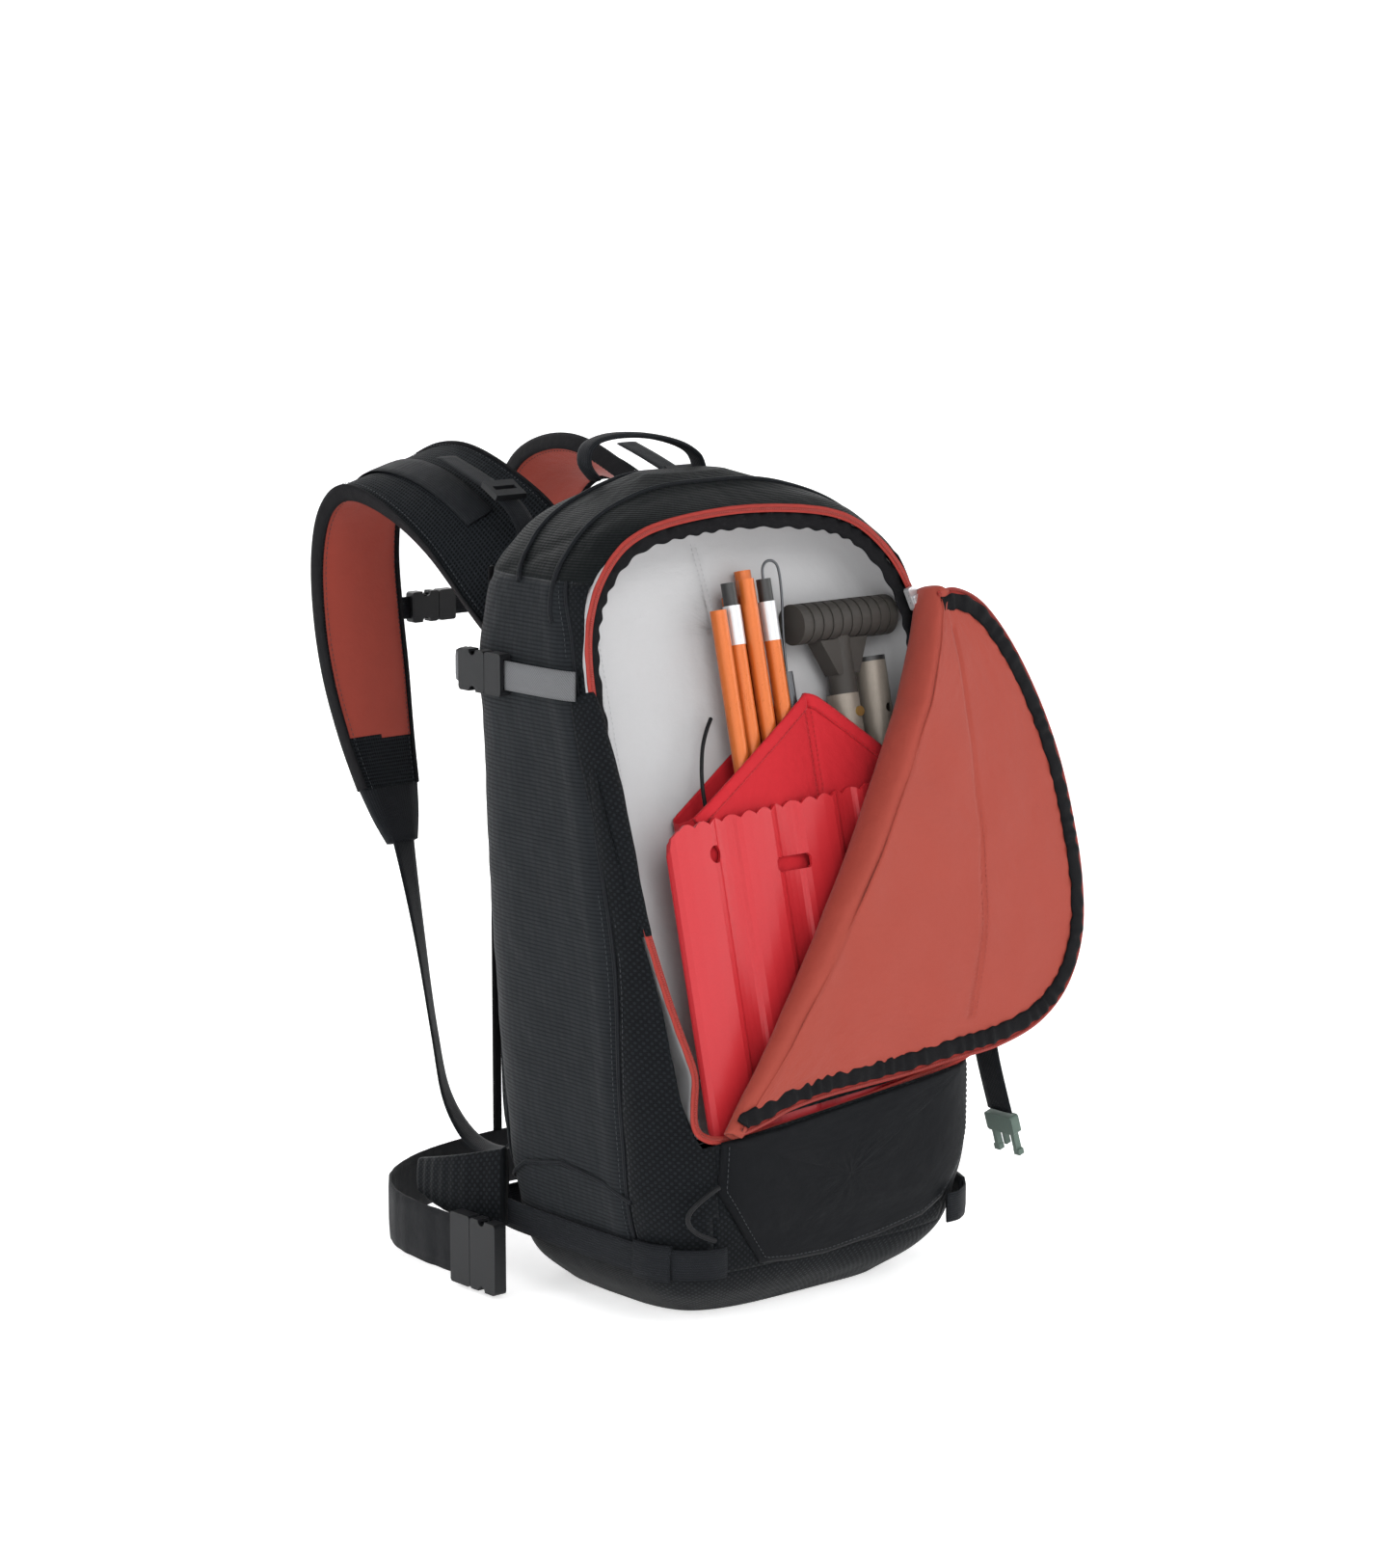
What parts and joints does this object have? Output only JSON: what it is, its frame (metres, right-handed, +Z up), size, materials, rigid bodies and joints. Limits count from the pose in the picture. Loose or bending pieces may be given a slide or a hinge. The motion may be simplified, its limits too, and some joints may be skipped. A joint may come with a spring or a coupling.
{
  "type": "ski backpack",
  "caption": "Ski touring backpack with a zipped front tool pocket folded open, divided sleeve holding shovel and probe, padded harness, hip belt and side straps.",
  "frame": {"origin": "centre of the pack's base, on the surface it stands on", "axes": "+Z up along the pack, -Y towards the front tool pocket, +Y towards the wearer's back and harness, +X to the right seen from the front"},
  "size_m": [0.3934, 0.4226, 0.5429],
  "materials": {
    "side_fabric": "ribbed and dotted woven nylon",
    "front_fabric": "smooth coated nylon",
    "top_fabric": "ribbed woven nylon",
    "base_fabric": "coated nylon",
    "grey_lining": "smooth lining",
    "coral_lining": "smooth lining",
    "coral_zip": "coil zip tape",
    "binding": "gathered edge tape",
    "sleeve_fabric": "coated nylon",
    "webbing_black": "woven webbing",
    "webbing_grey": "diagonal woven webbing",
    "mesh_foam": "spacer mesh over foam",
    "buckle_plastic": "satin",
    "buckle_greygreen": "satin",
    "blade_red": "red anodised, satin",
    "tube_bronze": "anodised, brushed",
    "grip_plastic": "ribbed",
    "button_brass": "polished",
    "probe_orange": "orange anodised, gloss",
    "ferrule_silver": "polished",
    "black_plastic": "satin",
    "steel_cable": "twisted strand",
    "cord_black": "braided cord"
  },
  "bodies": {
    "pack": {"base_tub": "base_fabric", "top_panel": "top_fabric", "side_panel_left": "side_fabric", "side_panel_right": "side_fabric", "lower_front_panel": "front_fabric", "divider_panel": "grey_lining", "pocket_floor": "grey_lining", "opening_zip": "coral_zip", "opening_binding": "binding", "tool_sleeve": "sleeve_fabric", "flap_base_panel": "front_fabric", "flap_fold_gusset": "coral_lining", "compression_sockets": "buckle_plastic", "compression_webbing": "webbing_grey", "hip_wings": "mesh_foam", "base_webbing": "webbing_black", "back_zip": "webbing_black", "bungee_loop": "cord_black", "sleeve_cord": "cord_black"},
    "front_flap": {"flap_lining": "coral_lining", "flap_outer": "front_fabric", "flap_binding": "binding"},
    "blade": {"shovel_blade": "blade_red"},
    "handle": {"grip": "grip_plastic", "grip_stem": "grip_plastic", "shovel_shaft": "tube_bronze", "shaft_button": "button_brass"},
    "extension": {"extension_tube": "tube_bronze", "tube_plug": "black_plastic"},
    "probe": {"probe_segments": "probe_orange", "probe_ferrules": "ferrule_silver", "probe_tips": "black_plastic", "cable_lock": "ferrule_silver", "probe_cable": "steel_cable"},
    "back_door": {"back_door_panel": "side_fabric", "back_pad": "mesh_foam", "harness_yoke": "mesh_foam", "shoulder_strap_left": "mesh_foam", "shoulder_strap_right": "mesh_foam", "strap_tips": "webbing_black", "shoulder_webbing": "webbing_black", "load_lifters": "webbing_black", "ladder_locks": "buckle_plastic", "sternum_rails": "webbing_black"},
    "sternum_strap": {"sternum_socket": "buckle_plastic", "sternum_webbing": "webbing_black", "sternum_clips": "buckle_plastic"},
    "sternum_release": {"sternum_plug": "buckle_plastic"},
    "compression_release_left": {"compression_plug_left": "buckle_plastic"},
    "compression_release_right": {"compression_plug_right": "buckle_plastic"},
    "hip_belt": {"hip_belt_webbing": "webbing_black", "hip_socket": "buckle_plastic"},
    "hip_release": {"hip_plug": "buckle_plastic"},
    "haul_handle": {"haul_loop": "webbing_black"},
    "back_slider": {"back_zip_slider": "buckle_plastic"},
    "back_tab": {"back_zip_pull": "webbing_black"},
    "slider": {"front_slider": "buckle_greygreen"},
    "slider_tab": {"front_pull": "buckle_greygreen"},
    "loose_strap": {"hanging_strap": "webbing_black", "hanging_plug": "buckle_greygreen"}
  },
  "joints": [
    {"name": "flap_fold", "type": "hinge", "parent": "pack", "child": "front_flap", "pos_m": [-0.093, -0.11514, 0.12106], "axis": [0.577, 0.1548, 0.802], "range_deg": [-185.6, 0]},
    {"name": "blade_lift", "type": "slide", "parent": "pack", "child": "blade", "axis": [0, 0.2352, 0.9719], "range_m": [0, 0.08]},
    {"name": "handle_lift", "type": "slide", "parent": "pack", "child": "handle", "axis": [0, 0.2352, 0.9719], "range_m": [0, 0.016]},
    {"name": "extension_lift", "type": "slide", "parent": "pack", "child": "extension", "axis": [0, 0.2352, 0.9719], "range_m": [0, 0.006]},
    {"name": "probe_lift", "type": "slide", "parent": "pack", "child": "probe", "axis": [0, 0.2352, 0.9719], "range_m": [0, 0.012]},
    {"name": "back_door_hinge", "type": "hinge", "parent": "pack", "child": "back_door", "pos_m": [0, 0.093, 0.0515], "axis": [-1, 0, 0], "range_deg": [0, 25]},
    {"name": "sternum_slide", "type": "slide", "parent": "back_door", "child": "sternum_strap", "axis": [0, 0, 1], "range_m": [-0.018, 0.018]},
    {"name": "sternum_unclip", "type": "slide", "parent": "sternum_strap", "child": "sternum_release", "axis": [1, 0, 0], "range_m": [0, 0.01]},
    {"name": "compression_unclip_left", "type": "slide", "parent": "pack", "child": "compression_release_left", "axis": [0, -1, 0], "range_m": [0, 0.012]},
    {"name": "compression_unclip_right", "type": "slide", "parent": "pack", "child": "compression_release_right", "axis": [0, -1, 0], "range_m": [0, 0.012]},
    {"name": "hip_belt_tilt", "type": "hinge", "parent": "pack", "child": "hip_belt", "pos_m": [0, 0.034, 0.025], "axis": [-1, 0, 0], "range_deg": [-12, 0]},
    {"name": "hip_unclip", "type": "slide", "parent": "hip_belt", "child": "hip_release", "axis": [0, 1, 0], "range_m": [0, 0.014]},
    {"name": "haul_swing", "type": "hinge", "parent": "pack", "child": "haul_handle", "pos_m": [0, 0.0685, 0.5095], "axis": [1, 0, 0], "range_deg": [-18, 12]},
    {"name": "back_zip_run", "type": "slide", "parent": "pack", "child": "back_slider", "axis": [0, 0, 1], "range_m": [-0.25, 0.03]},
    {"name": "back_tab_swing", "type": "hinge", "parent": "back_slider", "child": "back_tab", "pos_m": [-0.11425, 0.0973, 0.4065], "axis": [1, 0, 0], "range_deg": [0, 80]},
    {"name": "slider_run", "type": "slide", "parent": "pack", "child": "slider", "axis": [-0.2676, 0.2266, 0.9365], "range_m": [-0.008, 0.01]},
    {"name": "slider_tab_swing", "type": "hinge", "parent": "slider", "child": "slider_tab", "pos_m": [0.12947, -0.03616, 0.42747], "axis": [-0.9635, -0.0629, -0.2601], "range_deg": [0, 32]},
    {"name": "loose_strap_swing", "type": "hinge", "parent": "pack", "child": "loose_strap", "pos_m": [0.1485, -0.077, 0.184], "axis": [0, -1, 0], "range_deg": [-6, 40]}
  ]
}
